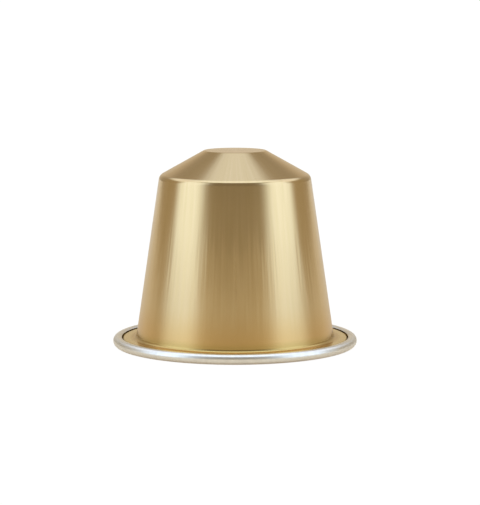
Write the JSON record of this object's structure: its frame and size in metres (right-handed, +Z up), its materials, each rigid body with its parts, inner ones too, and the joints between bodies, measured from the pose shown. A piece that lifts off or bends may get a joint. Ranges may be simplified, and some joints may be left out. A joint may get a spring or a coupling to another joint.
{
  "type": "coffee pod",
  "caption": "Sealed single-serve aluminium coffee pod: tapered cup with a conical shoulder and a rolled rim, standing on the rim with its small end up.",
  "frame": {"origin": "centre of the circle that the rolled rim stands on", "axes": "+Z up along the pod's axis, from the rim to the small end; the pod is round, so X and Y are alike"},
  "size_m": [0.037, 0.037, 0.0297],
  "materials": {
    "gold_lacquer": "satin clear gold lacquer over drawn aluminium",
    "bare_aluminium": "bright bare aluminium, on the rolled rim and the foil lid"
  },
  "bodies": {
    "root": {"sealed_capsule": "gold_lacquer"}
  },
  "joints": []
}
